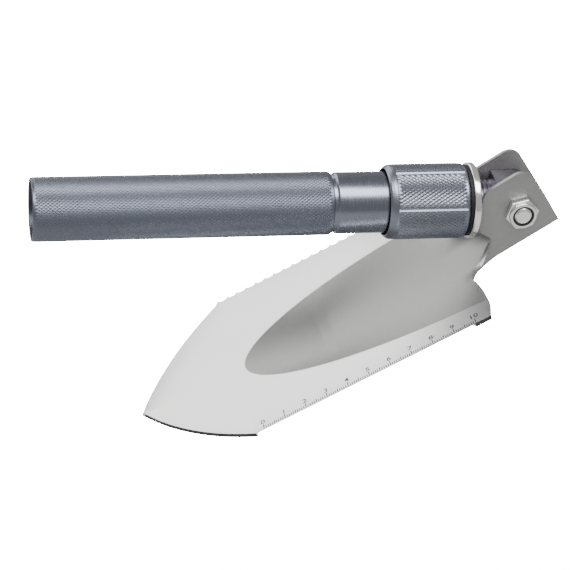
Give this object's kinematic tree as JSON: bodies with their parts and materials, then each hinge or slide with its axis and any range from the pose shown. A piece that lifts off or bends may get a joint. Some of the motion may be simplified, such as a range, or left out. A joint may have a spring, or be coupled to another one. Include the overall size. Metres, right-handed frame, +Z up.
{
  "type": "folding camp shovel",
  "caption": "Folding camp shovel with a knurled tube handle, a screw collar that locks the hinge, and a pressed pointed blade with a saw edge and a ruler edge.",
  "frame": {"origin": "centre of the handle tube's open end", "axes": "+X along the handle from its open end to the hinge, +Y along the pivot bolt towards its head, +Z up with the folded blade underneath"},
  "size_m": [0.2277, 0.1053, 0.1253],
  "materials": {
    "anodised": "knurled, blue-grey anodised",
    "anodised_smooth": "smooth turned, blue-grey anodised",
    "stem_metal": "turned and milled, dark grey anodised",
    "pin_steel": "plain turned",
    "black_plastic": "moulded, satin black",
    "bright_plate": "bright nickel plate",
    "blade_steel": "bead-blasted stainless sheet",
    "zinc_plate": "bright zinc plate",
    "nut_nylon": "moulded nylon"
  },
  "bodies": {
    "handle": {"handle_tube": "anodised", "ferrule": "anodised_smooth", "stem": "stem_metal", "stem_pin": "pin_steel"},
    "blade": {"blade": "blade_steel", "pivot_bolt": "zinc_plate", "lock_nut": "zinc_plate", "nut_insert": "nut_nylon"},
    "clamp": {"clamp_washer": "bright_plate", "friction_ring": "black_plastic"},
    "collar": {"lock_collar": "anodised"}
  },
  "joints": [
    {"name": "blade_fold", "type": "hinge", "parent": "handle", "child": "blade", "pos_m": [0.20918, 0, 0], "axis": [0, -1, 0], "range_deg": [0, 145]},
    {"name": "collar_travel", "type": "slide", "parent": "handle", "child": "clamp", "axis": [1, 0, 0], "range_m": [-0.008, 0]},
    {"name": "collar_turn", "type": "hinge", "parent": "clamp", "child": "collar", "pos_m": [0.17, 0, 0], "axis": [1, 0, 0], "range_deg": [-1440.1, 0]}
  ],
  "couplings": [
    {"joint": "collar_turn", "follows": "collar_travel", "rad_per_m": 3141.6}
  ]
}
